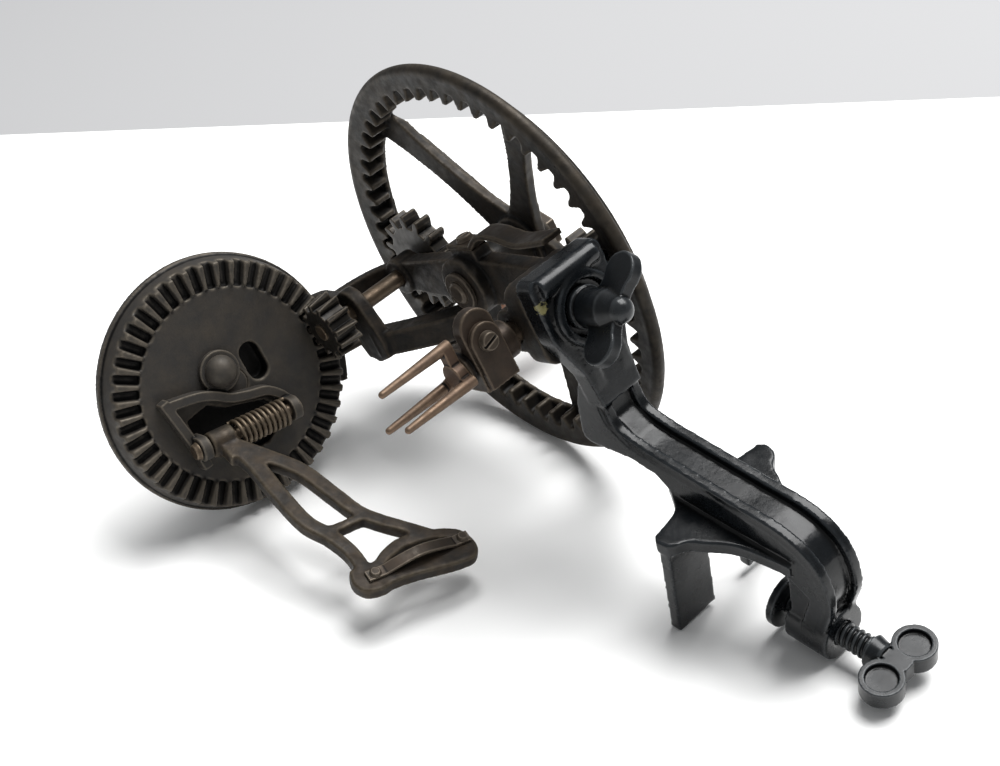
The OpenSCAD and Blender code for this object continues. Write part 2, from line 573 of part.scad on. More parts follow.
module clamp_saddle() in_clamp() {
    translate([0, 24.4, 0]) rotate([-90, 0, 0]) linear_extrude(4.6) {
        saddle_half();
        mirror([0, 1]) saddle_half();
        translate([96, -5]) square([50, 10]);
    }
    translate([0, 0, -spine_w]) linear_extrude(2 * spine_w)
        polygon([[90, 17], [99, 23], [105, 29], [139, 29], [150, 36], [152, 24], [143, 18]]);
    for (s = [-1, 1]) translate([tab_s - clamp_s - 4, 24.4, s * (ear_w - 8.2) - 8.2])
        cube([4, jaw_t + 9 - 24.4, 16.4]);
}
module clamp_nut() in_clamp() {
    translate([141.5, jaw_t, 0]) rotate([0, 90, 0]) cylinder(r = 9, h = 15);
    translate([142.5, 30, -6.6]) cube([12, jaw_t - 30, 13.2]);
}
module screw_axis() in_clamp() translate([0, jaw_t, 0]) rotate([0, 90, 0]) children();
module clamp_body() color(japan) difference() {
    union() {
        translate([0, 0, pad_z]) linear_extrude(head_z1 - pad_z) head_outline();
        translate([clamp_x - 11.5, -13.4, head_z1 - 0.6]) rotate([0, 90, 0]) cylinder(r = 3.4, h = 23);
        translate([clamp_x, wing_y, head_z1 - eps]) tube(11.4, 8.8, boss_z - head_z1);
        clamp_spine();
        clamp_saddle();
        clamp_nut();
    }
    translate([clamp_x, wing_y, pad_z - 1]) cylinder(r = 3.7, h = 20);
    screw_axis() translate([0, 0, 140]) cylinder(r = 4 + run, h = 24);
}
module wing() rotate([90, 0, 0]) translate([0, 0, -2]) linear_extrude(4) {
    translate([11, 13.4]) circle(6.2);
    polygon([[2, 5], [9, 7.6], [15, 10], [8, 18.6], [2, 17]]);
}
module wing_screw() color(japan) translate([clamp_x, wing_y, head_z1 + 0.3]) {
    translate([0, 0, pad_z - head_z1 - 5.8]) cylinder(r = 3.45, h = head_z1 - pad_z + 6.4);
    cylinder(r = 6.8, h = 2.2);
    translate([0, 0, 2]) cylinder(r = 6, h = 10);
    translate([0, 0, 12 - eps]) cylinder(r1 = 6, r2 = 4.2, h = 5);
    translate([0, 0, 16.4]) sphere(4.3);
    rotate(41) wing();
    rotate(221) wing();
}
// two dished lobes on the end of the clamping screw, drawn across the spine
module thumb_lobe() difference() {
    cylinder(r = 6.6, h = 6);
    translate([0, 0, 4.4]) cylinder(r = 4.8, h = 3);
    translate([0, 0, -1.4]) cylinder(r = 4.8, h = 3);
}
module clamp_screw() color(japan) screw_axis() {
    s0 = pad_s - clamp_s;
    translate([0, 0, s0 + 3.2]) cylinder(r = 4, h = 171 - s0 - 3.2);
    translate([0, 0, s0 + 1.2]) cylinder(r = 2.2, h = 3);
    translate([0, 0, 166.5]) cylinder(r1 = 5.2, r2 = 4.2, h = 4);
    rotate([-90, 0, 0]) translate([0, -175.5, -3]) {
        for (s = [-1, 1]) translate([s * 7.8, 0, 0]) thumb_lobe();
        translate([-1.9, -4, 0]) cube([3.8, 11, 6]);
    }
}
module clamp_pad() color(japan) screw_axis() translate([0, 0, pad_s - clamp_s]) difference() {
    union() {
        cylinder(r = 9, h = 2.4);
        translate([0, 0, 2.3]) cylinder(r1 = 8, r2 = 5, h = 0.7);
    }
    translate([0, 0, 1]) cylinder(r = 2.2 + run, h = 5);
}

module lay() translate(lay_pos) rotate(lay_rot) children();
lay() {
    main_frame();
    top_strap();
    strap_screw();
    drive_wheel();
    wheel_axle();
    axle_washer();
    axle_nut();
    crank_stud();
    crank_grip();
    crank_washer();
    drive_rod();
    rod_pinion();
    crown_pinion();
    turntable();
    turntable_pivot();
    arm_bracket();
    bracket_rivet();
    hinge_pin();
    arm_spring();
    paring_arm();
    knife_blade();
    blade_screws();
    fork_spindle();
    fork_pinion();
    fork_head();
    apple_fork();
    fork_plate();
    fork_screw();
    clamp_body();
    wing_screw();
    clamp_screw();
    clamp_pad();
}
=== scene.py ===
"""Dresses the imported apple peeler: eased castings, a wound spring, a cut thread and aged finishes."""
import json
import logging
import math
from dataclasses import dataclass
from enum import Enum

import bmesh
import bpy
import numpy as np
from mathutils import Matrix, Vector


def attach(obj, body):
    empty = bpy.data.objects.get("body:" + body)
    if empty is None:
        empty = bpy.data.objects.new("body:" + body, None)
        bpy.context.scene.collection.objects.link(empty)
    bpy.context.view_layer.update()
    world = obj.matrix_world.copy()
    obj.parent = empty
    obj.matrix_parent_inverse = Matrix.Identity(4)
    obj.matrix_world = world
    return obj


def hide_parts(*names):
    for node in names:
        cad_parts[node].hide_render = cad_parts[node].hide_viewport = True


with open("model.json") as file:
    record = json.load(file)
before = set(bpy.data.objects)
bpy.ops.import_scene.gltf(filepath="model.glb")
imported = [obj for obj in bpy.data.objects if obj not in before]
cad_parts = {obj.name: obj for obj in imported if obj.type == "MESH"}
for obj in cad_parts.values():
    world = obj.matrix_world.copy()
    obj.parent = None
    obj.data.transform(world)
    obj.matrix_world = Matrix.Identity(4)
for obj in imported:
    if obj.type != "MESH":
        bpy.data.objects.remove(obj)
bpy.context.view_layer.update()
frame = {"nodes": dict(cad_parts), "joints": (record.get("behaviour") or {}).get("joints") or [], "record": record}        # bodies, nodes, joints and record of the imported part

MM = 0.001
EDGE = "edge"            # attribute: how sharply a point stands out, per millimetre; set low in the turntable's pockets to paint shade there
WELD_MM = 0.002          # points closer than this are one
MIX_SHARE, MIX_FIRST, MIX_SECOND, MIX_RESULT = 0, 6, 7, 2    # the mix node's sockets for colours
log = logging.getLogger("peeler")


def linear(code: str) -> tuple[float, float, float, float]:
    """Turns an sRGB hex colour to linear light.

    Args:
        code: colour such as "#3a332a".

    Returns:
        Red, green, blue and an alpha of one.
    """
    parts = [int(code[i:i + 2], 16) / 255 for i in (1, 3, 5)]
    light = [c / 12.92 if c <= 0.04045 else ((c + 0.055) / 1.055) ** 2.4 for c in parts]
    return (light[0], light[1], light[2], 1.0)


def per_metre(size_mm: float) -> float:
    """Gives the texture scale at which one pattern feature is this many millimetres across."""
    return 1.0 / (size_mm * MM)


def add_node(
    tree: bpy.types.NodeTree,
    kind: str,
    props: dict | None = None,
    inputs: dict | None = None,
    links: dict | None = None,
) -> bpy.types.Node:
    """Adds one node with its settings and the links that feed it.

    Args:
        tree: node tree that gets the node.
        kind: id name of the node's type.
        props: node properties by name.
        inputs: input values by socket name or index.
        links: output sockets by the name or index of the input that they feed.

    Returns:
        The new node.
    """
    node = tree.nodes.new(kind)
    for name, value in (props or {}).items():
        setattr(node, name, value)
    for key, value in (inputs or {}).items():
        node.inputs[key].default_value = value
    for key, socket in (links or {}).items():
        tree.links.new(socket, node.inputs[key])
    return node


def noise(
    tree: bpy.types.NodeTree,
    coord: bpy.types.NodeSocket,
    size_mm: float,
    detail: float,
    roughness: float = 0.5,
) -> bpy.types.NodeSocket:
    """Adds a cloudy pattern.

    Args:
        tree: material's node tree.
        coord: coordinates in metres.
        size_mm: size of one cloud.
        detail: finer layers.
        roughness: strength of the finer layers.

    Returns:
        A value about a half.
    """
    inputs = {"Scale": per_metre(size_mm), "Detail": detail, "Roughness": roughness}
    return add_node(tree, "ShaderNodeTexNoise", inputs=inputs, links={"Vector": coord}).outputs[0]


def ramp(
    tree: bpy.types.NodeTree,
    value: bpy.types.NodeSocket,
    span: tuple[float, float],
    to: tuple[float, float] = (0.0, 1.0),
) -> bpy.types.NodeSocket:
    """Maps one span of values to another, and holds what lies outside at its ends.

    Args:
        tree: material's node tree.
        value: value to map.
        span: values at the start and the end.
        to: what these become.

    Returns:
        The mapped value.
    """
    inputs = {"From Min": span[0], "From Max": span[1], "To Min": to[0], "To Max": to[1]}
    return add_node(tree, "ShaderNodeMapRange", inputs=inputs, links={"Value": value}).outputs[0]


def blend(
    tree: bpy.types.NodeTree,
    share: bpy.types.NodeSocket,
    first: str | bpy.types.NodeSocket,
    second: str,
) -> bpy.types.NodeSocket:
    """Mixes two colours.

    Args:
        tree: material's node tree.
        share: how much of the second colour there is.
        first: hex colour or a colour's socket.
        second: hex colour.

    Returns:
        The mixed colour.
    """
    inputs, links = {MIX_SECOND: linear(second)}, {MIX_SHARE: share}
    if isinstance(first, str):
        inputs[MIX_FIRST] = linear(first)
    else:
        links[MIX_FIRST] = first
    return add_node(tree, "ShaderNodeMix", {"data_type": "RGBA"}, inputs, links).outputs[MIX_RESULT]


@dataclass(frozen=True)
class Axis:
    """A line in space that round pieces are measured from."""

    origin: Vector
    along: Vector

    @classmethod
    def of_joint(cls, name: str) -> "Axis":
        """Reads a joint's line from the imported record.

        Args:
            name: joint's name in the record.

        Returns:
            The joint's axis, in metres.
        """
        joint = next(j for j in frame["joints"] if j["name"] == name)
        return cls(Vector(joint["pos_m"]), Vector(joint["axis"]).normalized())

    def side(self) -> tuple[Vector, Vector]:
        """Gives two unit vectors square to the line and to each other."""
        first = self.along.orthogonal().normalized()
        return first, self.along.cross(first)

    def measure(self, mesh: bpy.types.Mesh) -> tuple[np.ndarray, np.ndarray]:
        """Measures a mesh's points against the line.

        Args:
            mesh: mesh in the frame's own place.

        Returns:
            Distance along the line and distance from it, for each point.
        """
        points = np.array([v.co for v in mesh.vertices]) - np.array(self.origin)
        reach = points @ np.array(self.along)
        off = np.linalg.norm(points - np.outer(reach, np.array(self.along)), axis=1)
        return reach, off

    def helix(self, start: float, end: float, radius: float, turns: float, per_turn: int) -> list[Vector]:
        """Works out the points of a right-handed helix round the line.

        Args:
            start: first place along the line, in metres.
            end: last place along the line, in metres.
            radius: distance from the line, in metres.
            turns: number of turns.
            per_turn: points for each turn.

        Returns:
            The helix's points in order.
        """
        first, second = self.side()
        count = int(turns * per_turn)
        points = []
        for i in range(count + 1):
            turn = 2 * math.pi * turns * i / count
            ring = first * math.cos(turn) + second * math.sin(turn)
            place = start + (end - start) * i / count
            points.append(self.origin + self.along * place + ring * radius)
        return points


class Make(Enum):
    """How a piece was made, with the passes that ease its edges."""

    FORGED = 48
    CAST = 8
    FILED = 4
    TURNED = 2


@dataclass(frozen=True)
class Finish:
    """Worn metal: a dark body, browner patches, grime in the hollows and rubbed edges.

    The oxide film gives a soft dull sheen, and the edges shine where hands and dust have rubbed it off.
    """

    name: str
    body: str
    patch: str
    grime_and_shade: str
    rubbed: str
    metallic: float
    roughness: float
    patch_mm: float = 9.0
    grain_mm: float = 0.9
    grain_depth_mm: float = 0.05
    rub: float = 0.45
    shine: float = 0.12
    specular: float = 0.22
    patch_share: tuple[float, float] = (0.38, 0.68)
    grime_bend: tuple[float, float] = (-0.06, -0.5)
    wear_bend: tuple[float, float] = (0.08, 0.45)
    wear_mm: float = 3.0
    pit_grains: float = 4.0
    pit_share: tuple[float, float] = (0.3, 0.7)
    bump_strength: float = 0.7

    def colour(self, tree: bpy.types.NodeTree, coord: bpy.types.NodeSocket) -> bpy.types.NodeSocket:
        """Mixes the film's colours.

        Args:
            tree: material's node tree.
            coord: object coordinates.

        Returns:
            The colour socket.
        """
        cloud = noise(tree, coord, self.patch_mm, detail=7.0, roughness=0.65)
        film = blend(tree, ramp(tree, cloud, self.patch_share), self.body, self.patch)
        shape = add_node(tree, "ShaderNodeAttribute", {"attribute_name": EDGE})
        hollow = ramp(tree, shape.outputs["Fac"], self.grime_bend)
        # grime darkens the hollows; where a piece's edge value is set low, as in the turntable's pockets,
        # this colour is painted shade
        soiled_and_shaded = blend(tree, hollow, film, self.grime_and_shade)
        return blend(tree, self.wear(tree, coord), soiled_and_shaded, self.rubbed)

    def wear(self, tree: bpy.types.NodeTree, coord: bpy.types.NodeSocket) -> bpy.types.NodeSocket:
        """Finds where edges are rubbed, broken up by a fine cloud.

        Args:
            tree: material's node tree.
            coord: object coordinates.

        Returns:
            A share from zero to this finish's rub.
        """
        shape = add_node(tree, "ShaderNodeAttribute", {"attribute_name": EDGE})
        cloud = noise(tree, coord, self.wear_mm, detail=5.0)
        broken = add_node(tree, "ShaderNodeMath", {"operation": "MULTIPLY"},
                          links={0: shape.outputs["Fac"], 1: cloud})
        return ramp(tree, broken.outputs[0], self.wear_bend, (0.0, self.rub))

    def material(self) -> bpy.types.Material:
        """Builds the material.

        Returns:
            The finished material.
        """
        mat = bpy.data.materials.new(self.name)
        mat.use_nodes = True
        tree = mat.node_tree
        tree.nodes.clear()
        coord = add_node(tree, "ShaderNodeTexCoord").outputs["Object"]
        grain = noise(tree, coord, self.grain_mm, detail=4.0, roughness=0.6)
        pits = noise(tree, coord, self.pit_grains * self.grain_mm, detail=3.0)
        height = add_node(tree, "ShaderNodeMath", {"operation": "ADD"}, links={0: grain, 1: pits})
        bump = add_node(tree, "ShaderNodeBump", links={"Height": height.outputs[0]},
                        inputs={"Strength": self.bump_strength, "Distance": self.grain_depth_mm * MM})
        dull = ramp(tree, pits, self.pit_share, (self.roughness - self.shine, self.roughness + self.shine))
        shader = add_node(tree, "ShaderNodeBsdfPrincipled",
                          inputs={"Metallic": self.metallic, "Specular IOR Level": self.specular},
                          links={"Base Color": self.colour(tree, coord), "Roughness": dull,
                                 "Normal": bump.outputs[0]})
        add_node(tree, "ShaderNodeOutputMaterial", links={"Surface": shader.outputs[0]})
        return mat


@dataclass(frozen=True)
class JapanFinish(Finish):
    """Black japan: baked asphalt varnish over iron, glossy with a fine orange peel, chipped in one place."""

    chip_at: tuple[float, float, float] = (0.0, 0.0, 0.0)
    chip_mm: float = 0.0
    chip: str = "#77724e"
    flake_mm: float = 2.2
    flake_share: tuple[float, float] = (0.3, 0.36)

    def colour(self, tree: bpy.types.NodeTree, coord: bpy.types.NodeSocket) -> bpy.types.NodeSocket:
        """Mixes the varnish with its chipped place.

        Args:
            tree: material's node tree.
            coord: object coordinates.

        Returns:
            The colour socket.
        """
        varnish = super().colour(tree, coord)
        if self.chip_mm == 0:
            return varnish
        away = add_node(tree, "ShaderNodeVectorMath", {"operation": "DISTANCE"},
                        {1: self.chip_at}, {0: coord})
        near = ramp(tree, away.outputs["Value"], (self.chip_mm * MM, 0.0))
        flakes = noise(tree, coord, self.flake_mm, detail=6.0, roughness=0.7)
        both = add_node(tree, "ShaderNodeMath", {"operation": "MULTIPLY"}, links={0: near, 1: flakes})
        return blend(tree, ramp(tree, both.outputs[0], self.flake_share), varnish, self.chip)


@dataclass(frozen=True)
class WoodFinish(Finish):
    """Dark turned hardwood: long grain streaks along the grip, handled to a low polish."""

    along: tuple[float, float, float] = (0.0, 0.0, 1.0)
    streak_mm: float = 1.6
    streak_squeeze: float = 0.06
    streak_share: tuple[float, float] = (0.35, 0.66)

    def colour(self, tree: bpy.types.NodeTree, coord: bpy.types.NodeSocket) -> bpy.types.NodeSocket:
        """Draws streaks along the grip.

        Args:
            tree: material's node tree.
            coord: object coordinates.

        Returns:
            The colour socket.
        """
        turn = Vector(self.along).rotation_difference(Vector((0, 0, 1))).to_euler()
        laid = add_node(tree, "ShaderNodeMapping", inputs={"Rotation": turn}, links={"Vector": coord})
        drawn = add_node(tree, "ShaderNodeMapping", inputs={"Scale": (1.0, 1.0, self.streak_squeeze)},
                         links={"Vector": laid.outputs[0]})
        grain = noise(tree, drawn.outputs[0], self.streak_mm, detail=6.0, roughness=0.7)
        return blend(tree, ramp(tree, grain, self.streak_share), self.body, self.patch)


FRAME_IRON = Finish("browned_cast_iron", "#1b1a19", "#302922", "#0e0d0c", "#5a5146", 0.4, 0.52,
                    patch_mm=7.0, grain_depth_mm=0.11)
WHEEL_IRON = Finish("wheel_cast_iron", "#1d1c1b", "#2e2821", "#0f0e0d", "#5a5247", 0.4, 0.5,
                    grain_depth_mm=0.08)
PINION_IRON = Finish("greasy_cast_iron", "#262422", "#302c27", "#0f0e0d", "#5f574c", 0.45, 0.42)
# its grime colour also paints shade into the turntable's pockets
TABLE_IRON = Finish("dull_cast_iron", "#393735", "#45403a", "#121110", "#6b6357", 0.45, 0.58,
                    grain_depth_mm=0.08)
ARM_IRON = Finish("brown_cast_iron", "#272421", "#382f25", "#151210", "#695f50", 0.45, 0.52,
                  patch_mm=7.0, grain_depth_mm=0.09)
STRAP_IRON = Finish("worn_strap_iron", "#2c2824", "#382f27", "#151210", "#635a4d", 0.5, 0.47)
LUG_IRON = Finish("dark_brown_iron", "#2e2823", "#3b3129", "#141110", "#685c4f", 0.5, 0.46)
FORK_IRON = Finish("coppery_brown_iron", "#493b32", "#5b483a", "#1e1814", "#86725f", 0.55, 0.45)
ROD_STEEL = Finish("browned_round_steel", "#4a4036", "#56493c", "#262019", "#8c7d6a", 0.65, 0.42,
                   grain_mm=0.5, grain_depth_mm=0.02)
WIRE_STEEL = Finish("drawn_spring_wire", "#453d35", "#524637", "#1b1714", "#7d705f", 0.65, 0.44,
                    grain_mm=0.5, grain_depth_mm=0.02)
BLADE_STEEL = Finish("dull_rolled_steel", "#35312c", "#40372f", "#191614", "#7a7063", 0.55, 0.45,
                     grain_mm=0.5, grain_depth_mm=0.02)
FASTENER_STEEL = Finish("worn_fastener_steel", "#35302b", "#41382f", "#181513", "#746a5e", 0.55, 0.46,
                        grain_mm=0.6, grain_depth_mm=0.025)
CLAMP_JAPAN = JapanFinish("black_japan", "#090b0d", "#0e1114", "#050607", "#2f3336", 0.0, 0.24,
                          grain_mm=1.6, grain_depth_mm=0.04, rub=0.4, shine=0.08, specular=0.27,
                          chip_at=(0.0259, -0.0328, 0.1012), chip_mm=5.5)
SCREW_JAPAN = JapanFinish("black_japan_screw", "#0e1012", "#15181b", "#070809", "#45484a", 0.1, 0.3,
                          grain_mm=1.6, grain_depth_mm=0.03, rub=0.5, shine=0.08, specular=0.3)


def merged_copy(node: str) -> bpy.types.Mesh:
    """Copies a CAD node's mesh and joins its loose triangles.

    Args:
        node: CAD node's name.

    Returns:
        A closed mesh of its own.
    """
    shell = bmesh.new()
    shell.from_mesh(frame["nodes"][node].data)
    bmesh.ops.remove_doubles(shell, verts=shell.verts, dist=WELD_MM * MM)
    mesh = bpy.data.meshes.new(node)
    shell.to_mesh(mesh)
    shell.free()
    mesh.materials.clear()
    return mesh


def placed(name: str, data: bpy.types.ID) -> bpy.types.Object:
    """Puts a mesh or a curve in the scene, at the origin.

    Args:
        name: piece's name.
        data: its mesh or curve.

    Returns:
        The new object.
    """
    obj = bpy.data.objects.new(name, data)
    bpy.context.scene.collection.objects.link(obj)
    return obj


def plain(obj: bpy.types.Object) -> bpy.types.Object:
    """Turns an object with modifiers into a plain mesh object of the same name.

    Args:
        obj: object to settle.

    Returns:
        A new object without modifiers.
    """
    graph = bpy.context.evaluated_depsgraph_get()
    mesh = bpy.data.meshes.new_from_object(obj.evaluated_get(graph))
    name = obj.name
    bpy.data.objects.remove(obj)
    mesh.name = name
    return placed(name, mesh)


def mark_edges(mesh: bpy.types.Mesh, passes: int = 3) -> None:
    """Stores how sharply each point stands out, per millimetre: above zero on edges, below in hollows.

    Args:
        mesh: mesh that gets the attribute.
        passes: times that the value is spread to the neighbours.
    """
    count = len(mesh.vertices)
    points, normals = np.empty(count * 3), np.empty(count * 3)
    mesh.vertices.foreach_get("co", points)
    mesh.vertices.foreach_get("normal", normals)
    points, normals = points.reshape(-1, 3) / MM, normals.reshape(-1, 3)
    ends = np.empty(len(mesh.edges) * 2, int)
    mesh.edges.foreach_get("vertices", ends)
    near, far = np.concatenate([ends[0::2], ends[1::2]]), np.concatenate([ends[1::2], ends[0::2]])
    degree = np.maximum(np.bincount(near, minlength=count), 1)
    mean = np.stack([np.bincount(near, points[far, i], count) for i in range(3)], 1) / degree[:, None]
    step = np.linalg.norm(points[near] - points[far], axis=1).mean()
    # the height over the mean of the neighbours, which grows with the square of the spacing
    bend = ((points - mean) * normals).sum(1) * 4 / step ** 2
    for _ in range(passes):
        bend = 0.5 * bend + 0.5 * np.bincount(near, bend[far], count) / degree
    mesh.attributes.new(EDGE, "FLOAT", "POINT").data.foreach_set("value", bend.astype(np.float32))


def path_tube(name: str, points: list[Vector], radius: float, sides: int) -> bpy.types.Object:
    """Runs a round tube along a path with a node tree.

    Args:
        name: piece's name.
        points: points of the path.
        radius: tube's radius in metres.
        sides: sides of its section.

    Returns:
        A plain mesh object.
    """
    curve = bpy.data.curves.new(name, "CURVE")
    curve.dimensions = "3D"
    line = curve.splines.new("POLY")
    line.points.add(len(points) - 1)
    line.points.foreach_set("co", [x for p in points for x in (*p, 1.0)])
    obj = placed(name, curve)
    tree = bpy.data.node_groups.new(name + "_tube", "GeometryNodeTree")
    face = tree.interface
    face.new_socket("Geometry", in_out="INPUT", socket_type="NodeSocketGeometry")
    width = face.new_socket("Wire radius", in_out="INPUT", socket_type="NodeSocketFloat")
    around = face.new_socket("Sides", in_out="INPUT", socket_type="NodeSocketInt")
    face.new_socket("Geometry", in_out="OUTPUT", socket_type="NodeSocketGeometry")
    given = add_node(tree, "NodeGroupInput")
    section = add_node(tree, "GeometryNodeCurvePrimitiveCircle", {"mode": "RADIUS"},
                       links={"Radius": given.outputs["Wire radius"], "Resolution": given.outputs["Sides"]})
    tube = add_node(tree, "GeometryNodeCurveToMesh", inputs={"Fill Caps": True},
                    links={"Curve": given.outputs["Geometry"], "Profile Curve": section.outputs[0]})
    solid = add_node(tree, "GeometryNodeRealizeInstances", links={"Geometry": tube.outputs[0]})
    finished = add_node(tree, "GeometryNodeSetMaterial", links={"Geometry": solid.outputs[0]})
    add_node(tree, "NodeGroupOutput", links={"Geometry": finished.outputs[0]})
    run = obj.modifiers.new("tube", "NODES")
    run.node_group = tree
    run[width.identifier] = radius
    run[around.identifier] = sides
    return plain(obj)


def joined(mesh: bpy.types.Mesh, added: bpy.types.Object) -> None:
    """Adds an object's mesh to another mesh and removes the object.

    Args:
        mesh: mesh that grows.
        added: object that goes into it.
    """
    both = bmesh.new()
    both.from_mesh(mesh)
    both.from_mesh(added.data)
    both.to_mesh(mesh)
    both.free()
    bpy.data.objects.remove(added)


def eased(obj: bpy.types.Object, make: Make, voxel: float) -> bpy.types.Object:
    """Gives a closed mesh one even skin with eased edges and filled corners.

    Args:
        obj: object with a closed mesh.
        make: how the piece was made.
        voxel: spacing of the skin in metres.

    Returns:
        A plain mesh object of the same name.
    """
    skin = obj.modifiers.new("skin", "REMESH")
    skin.mode = "VOXEL"
    skin.voxel_size = voxel
    skin.use_smooth_shade = True
    ease = obj.modifiers.new("ease", "SMOOTH")
    ease.factor = 0.5
    ease.iterations = make.value
    done = plain(obj)
    mark_edges(done.data)
    return done


@dataclass(frozen=True)
class Dressing:
    """One CAD node's finish: how it was made, its skin's spacing and its material."""

    node: str
    make: Make
    finish: Finish
    voxel_mm: float


@dataclass
class SubAssembly:
    """Nodes of one part of the machine, each dressed as a piece of its own."""

    dressings: tuple[Dressing, ...] = ()

    def material(self, finish: Finish) -> bpy.types.Material:
        """Gives a finish's material, made once.

        Args:
            finish: finish to use.

        Returns:
            Its material.
        """
        return bpy.data.materials.get(finish.name) or finish.material()

    def shape(self, dressing: Dressing) -> bpy.types.Object:
        """Builds the mesh of one dressed node.

        Args:
            dressing: what is dressed.

        Returns:
            A plain mesh object.
        """
        raw = placed("dressed_" + dressing.node, merged_copy(dressing.node))
        return eased(raw, dressing.make, dressing.voxel_mm * MM)

    def dress(self, obj: bpy.types.Object, dressing: Dressing) -> None:
        """Gives a piece its finish and its body, and hides the CAD node that it stands for.

        Args:
            obj: finished piece.
            dressing: what it stands for.
        """
        obj.data.materials.clear()
        obj.data.materials.append(self.material(dressing.finish))
        record = frame["record"]
        body = next(b for b, nodes in record["behaviour"]["bodies"].items() if dressing.node in nodes)
        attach(obj, body)
        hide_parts(dressing.node)
        log.info("%s rides on %s, %d faces", obj.name, body, len(obj.data.polygons))

    def build(self) -> None:
        """Builds and dresses every node in turn."""
        for dressing in self.dressings:
            self.dress(self.shape(dressing), dressing)


@dataclass
class Frame(SubAssembly):
    """Main casting with its strap and the turntable's stud."""

    dressings: tuple[Dressing, ...] = (
        Dressing("main_frame", Make.CAST, FRAME_IRON, 0.55),
        Dressing("top_strap", Make.FILED, STRAP_IRON, 0.35),
        Dressing("strap_screw", Make.TURNED, FASTENER_STEEL, 0.18),
        Dressing("turntable_pivot", Make.TURNED, TABLE_IRON, 0.25),
    )


@dataclass
class DriveWheel(SubAssembly):
    """Spoked ring gear on its axle, with the crank that turns it."""

    dressings: tuple[Dressing, ...] = (
        Dressing("drive_wheel", Make.FILED, WHEEL_IRON, 0.55),
        Dressing("wheel_axle", Make.TURNED, FASTENER_STEEL, 0.25),
        Dressing("axle_washer", Make.TURNED, FASTENER_STEEL, 0.25),
        Dressing("axle_nut", Make.TURNED, FASTENER_STEEL, 0.25),
        Dressing("crank_stud", Make.TURNED, ROD_STEEL, 0.25),
        Dressing("crank_washer", Make.TURNED, FASTENER_STEEL, 0.2),
    )
    web_r_mm: float = 66.9
    web_place_mm: float = -4.5
    web_wire_mm: float = 0.65
    web_points: int = 240
    web_sides: int = 10

    def shape(self, dressing: Dressing) -> bpy.types.Object:
        """Builds a node's mesh, and closes the thin slit behind the roots of the ring's teeth.

        Args:
            dressing: what is dressed.

        Returns:
            A plain mesh object.
        """
        if dressing.node != "drive_wheel":
            return super().shape(dressing)
        place = self.web_place_mm * MM
        ring = Axis.of_joint("wheel_turn").helix(place, place, self.web_r_mm * MM, 1, self.web_points)
        mesh = merged_copy(dressing.node)
        joined(mesh, path_tube("web_ring", ring, self.web_wire_mm * MM, self.web_sides))
        return eased(placed("dressed_" + dressing.node, mesh), dressing.make, dressing.voxel_mm * MM)

    def build(self) -> None:
        """Builds the wheel, then the wooden grip on its stud."""
        super().build()
        along = tuple(Axis.of_joint("grip_spin").along)
        wood = WoodFinish("turned_hardwood", "#3f2413", "#5b371d", "#24150b", "#7a5230", 0.0, 0.42,
                          grain_mm=0.6, grain_depth_mm=0.03, along=along)
        grip = Dressing("crank_grip", Make.TURNED, wood, 0.3)
        self.dress(self.shape(grip), grip)


@dataclass
class GearTrain(SubAssembly):
    """Rod that carries the turn from the ring gear to the turntable."""

    dressings: tuple[Dressing, ...] = (
        Dressing("drive_rod", Make.TURNED, ROD_STEEL, 0.25),
        Dressing("rod_pinion", Make.FILED, PINION_IRON, 0.25),
        Dressing("crown_pinion", Make.FILED, PINION_IRON, 0.22),
    )


@dataclass
class Turntable(SubAssembly):
    """Crown gear with the bracket that holds the paring arm and its spring."""

    dressings: tuple[Dressing, ...] = (
        Dressing("turntable", Make.FILED, TABLE_IRON, 0.5),
        Dressing("arm_bracket", Make.FILED, TABLE_IRON, 0.28),
        Dressing("bracket_rivet", Make.TURNED, TABLE_IRON, 0.25),
        Dressing("hinge_pin", Make.TURNED, ROD_STEEL, 0.2),
    )
    wire_mm: float = 1.5
    coils: int = 10
    points_per_coil: int = 28
    wire_sides: int = 12
    pocket_mm: tuple[float, float] = (2.2, 7.0)
    pocket_reach_mm: float = 30.0
    # painted shade: the edge value laid into the table's pockets
    pocket_shade: float = -0.6

    def shape(self, dressing: Dressing) -> bpy.types.Object:
        """Builds a node's mesh, and paints shade into the pockets of the table's face with the dark grime
        colour.

        Args:
            dressing: what is dressed.

        Returns:
            A plain mesh object.
        """
        done = super().shape(dressing)
        if dressing.node == "turntable":
            reach, off = Axis.of_joint("table_turn").measure(done.data)
            below = (reach.max() - reach) / MM
            shallow, deep = self.pocket_mm
            # painted shade: points between the two pocket depths below the face and near the axis lie in the
            # pockets
            in_shaded_pocket = (below > shallow) & (below < deep) & (off < self.pocket_reach_mm * MM)
            values = np.empty(len(reach), np.float32)
            edge = done.data.attributes[EDGE].data
            edge.foreach_get("value", values)
            # painted shade: the pockets get a deep hollow value, so they take the full grime colour
            edge.foreach_set("value", np.where(in_shaded_pocket, np.float32(self.pocket_shade), values))
        return done

    def spring(self) -> bpy.types.Object:
        """Winds the arm's spring round the hinge pin, where its CAD node is.

        Returns:
            The spring as one tube.
        """
        axis = Axis.of_joint("arm_swing")
        reach, off = axis.measure(frame["nodes"]["arm_spring"].data)
        wire = self.wire_mm * MM
        coil = axis.helix(reach.min() + wire, reach.max() - wire, off.max() - wire / 2,
                          self.coils, self.points_per_coil)
        path = [coil[0] - axis.along * wire, *coil, coil[-1] + axis.along * wire]
        return path_tube("dressed_arm_spring", path, wire / 2, self.wire_sides)

    def build(self) -> None:
        """Builds the table's nodes, then winds the spring."""
        super().build()
        wound = self.spring()
        for face in wound.data.polygons:
            face.use_smooth = True
        mark_edges(wound.data)
        self.dress(wound, Dressing("arm_spring", Make.TURNED, WIRE_STEEL, 0.2))


